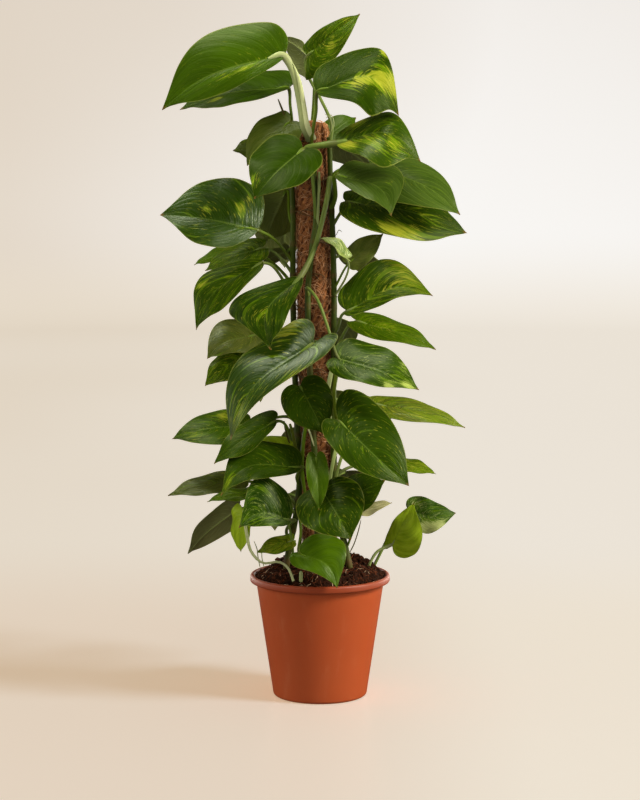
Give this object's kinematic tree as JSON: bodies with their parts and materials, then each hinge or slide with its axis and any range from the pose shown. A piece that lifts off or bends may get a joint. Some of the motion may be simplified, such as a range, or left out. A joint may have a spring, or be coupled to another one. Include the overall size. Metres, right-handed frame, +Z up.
{
  "type": "potted scindapsus on a coir pole",
  "caption": "Variegated climbing aroid with heart-shaped leaves on a coir pole, standing in a filled terracotta-coloured plastic nursery pot.",
  "frame": {"origin": "centre of the flat underside of the pot's base, on the pot's axis", "axes": "+Z up along the pot's axis; -Y is the front, the side the picture shows"},
  "size_m": [0.4048, 0.3228, 0.9193],
  "materials": {
    "pot": "satin",
    "soil": "matte",
    "coir": "matte",
    "stake": "matte",
    "stem": "satin",
    "leaf": "satin"
  },
  "bodies": {
    "root": {"leaf_crown_back": "leaf", "leaf_crown_left": "leaf", "leaf_crown_left_under": "leaf", "leaf_crown_right": "leaf", "leaf_crown_top": "leaf", "leaf_folded_lime": "leaf", "leaf_foot_front": "leaf", "leaf_foot_left_striped": "leaf", "leaf_heart_big": "leaf", "leaf_heart_dark": "leaf", "leaf_heart_front": "leaf", "leaf_lower_left_big": "leaf", "leaf_lower_left_drooping": "leaf", "leaf_lower_left_far": "leaf", "leaf_lower_left_flecked": "leaf", "leaf_lower_left_hanging": "leaf", "leaf_lower_left_lime": "leaf", "leaf_lower_left_long": "leaf", "leaf_lower_left_narrow": "leaf", "leaf_lower_left_thin": "leaf", "leaf_lower_right_dark": "leaf", "leaf_lower_right_narrow": "leaf", "leaf_lower_right_pointed": "leaf", "leaf_middle_big": "leaf", "leaf_middle_left_back": "leaf", "leaf_middle_left_big": "leaf", "leaf_middle_left_dark": "leaf", "leaf_middle_left_hanging": "leaf", "leaf_middle_left_inner": "leaf", "leaf_middle_left_low": "leaf", "leaf_middle_left_olive": "leaf", "leaf_middle_left_outer": "leaf", "leaf_middle_left_small": "leaf", "leaf_middle_right_lime": "leaf", "leaf_middle_right_round": "leaf", "leaf_middle_right_small": "leaf", "leaf_middle_right_striped": "leaf", "leaf_middle_right_young": "leaf", "leaf_new_pale": "leaf", "leaf_shoot_lime": "leaf", "leaf_shoot_striped": "leaf", "leaf_shoulder_front": "leaf", "leaf_shoulder_left_back": "leaf", "leaf_shoulder_left_olive": "leaf", "leaf_shoulder_right_back": "leaf", "leaf_shoulder_right_far": "leaf", "leaf_shoulder_right_low": "leaf", "leaf_shoulder_right_middle": "leaf", "leaf_shoulder_right_upper": "leaf", "pole_coir": "coir", "pole_stake": "stake", "pot": "pot", "soil": "soil", "stem_back": "stem", "stem_front": "stem", "stem_left": "stem", "stem_right": "stem"}
  },
  "joints": []
}
